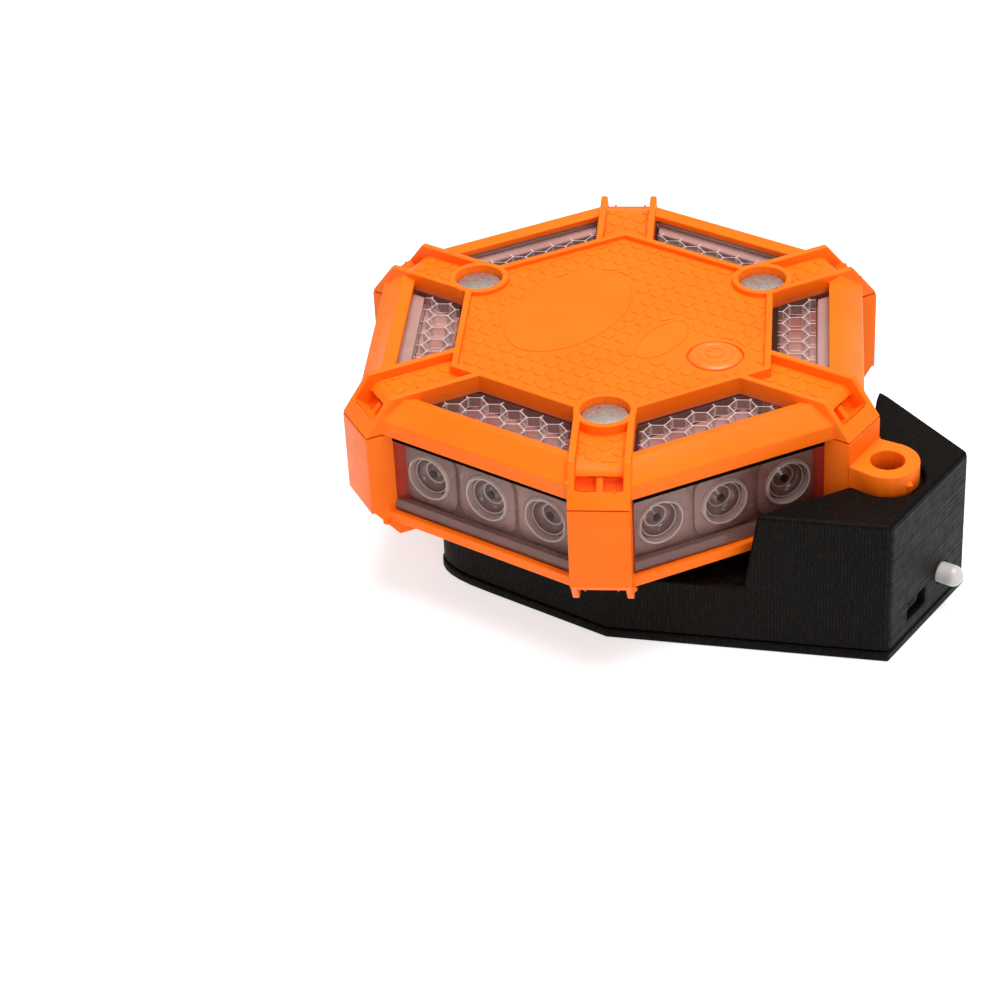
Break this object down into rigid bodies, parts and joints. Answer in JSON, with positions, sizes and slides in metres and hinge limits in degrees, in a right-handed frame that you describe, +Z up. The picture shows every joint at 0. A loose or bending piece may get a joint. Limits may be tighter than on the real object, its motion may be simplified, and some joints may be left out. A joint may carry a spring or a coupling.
{
  "type": "led safety flare",
  "caption": "Orange hexagonal road flare with clear side and top windows, a hang tab, top magnets and a push button, lying in its black printed charging dock.",
  "frame": {"origin": "the surface the dock stands on, under the flare's axis", "axes": "+Z up; +X from the flare's axis through the hang tab to the dock's port face; +Y to the left of that"},
  "size_m": [0.1552, 0.122, 0.0551],
  "materials": {
    "orange_shell": "satin moulded orange plastic with fine spark texture",
    "orange_inner": "orange plastic, seen through the windows",
    "button_orange": "soft orange button cap",
    "clear_window": "clear polycarbonate",
    "clear_lens": "clear acrylic collimators",
    "circuit_board": "green solder mask",
    "magnet": "nickel-plated disc magnet, matt",
    "screw_steel": "zinc-plated steel",
    "black_plastic": "black moulded plastic",
    "cell_wrap": "shrink-wrapped cell",
    "contact_brass": "gold-plated brass",
    "printed_black": "black printed plastic with visible layer lines",
    "port_metal": "tin-plated shell",
    "frosted_led": "frosted white epoxy",
    "led_board_white": "white solder mask, seen through the windows"
  },
  "bodies": {
    "dock": {"contact_barrel_1": "contact_brass", "contact_barrel_2": "contact_brass", "dock_shell": "printed_black", "dock_base": "printed_black", "charger_board": "circuit_board", "usb_port": "port_metal", "status_led": "frosted_led", "base_screw_1": "screw_steel", "base_screw_2": "screw_steel", "base_screw_3": "screw_steel", "base_screw_4": "screw_steel"},
    "flare": {"top_cover": "orange_shell", "lower_case": "orange_shell", "top_window_1": "clear_window", "side_window_1": "clear_window", "lens_bar_1": "clear_lens", "led_board_1": "led_board_white", "top_window_2": "clear_window", "side_window_2": "clear_window", "lens_bar_2": "clear_lens", "led_board_2": "led_board_white", "top_window_3": "clear_window", "side_window_3": "clear_window", "lens_bar_3": "clear_lens", "led_board_3": "led_board_white", "top_window_4": "clear_window", "side_window_4": "clear_window", "lens_bar_4": "clear_lens", "led_board_4": "led_board_white", "top_window_5": "clear_window", "side_window_5": "clear_window", "lens_bar_5": "clear_lens", "led_board_5": "led_board_white", "top_window_6": "clear_window", "side_window_6": "clear_window", "lens_bar_6": "clear_lens", "led_board_6": "led_board_white", "magnet_1": "magnet", "case_screw_1": "screw_steel", "magnet_2": "magnet", "case_screw_2": "screw_steel", "magnet_3": "magnet", "case_screw_3": "screw_steel", "tact_switch": "black_plastic", "inner_wall": "orange_inner", "main_board": "circuit_board", "battery_cell_1": "cell_wrap", "charge_pad_1": "contact_brass", "battery_cell_2": "cell_wrap", "charge_pad_2": "contact_brass"},
    "power_button": {"power_button": "button_orange"},
    "contact_pin_1": {"contact_pin_1": "contact_brass"},
    "contact_pin_2": {"contact_pin_2": "contact_brass"}
  },
  "joints": [
    {"name": "flare_lift", "type": "slide", "parent": "dock", "child": "flare", "axis": [0, 0, 1], "range_m": [0, 0.06]},
    {"name": "button_press", "type": "slide", "parent": "flare", "child": "power_button", "axis": [0, 0, 1], "range_m": [-0.0008, 0], "stiffness_N_per_m": 900},
    {"name": "pin_1_press", "type": "slide", "parent": "dock", "child": "contact_pin_1", "axis": [0, 0, 1], "range_m": [-0.0015, 0], "stiffness_N_per_m": 600},
    {"name": "pin_2_press", "type": "slide", "parent": "dock", "child": "contact_pin_2", "axis": [0, 0, 1], "range_m": [-0.0015, 0], "stiffness_N_per_m": 600}
  ]
}
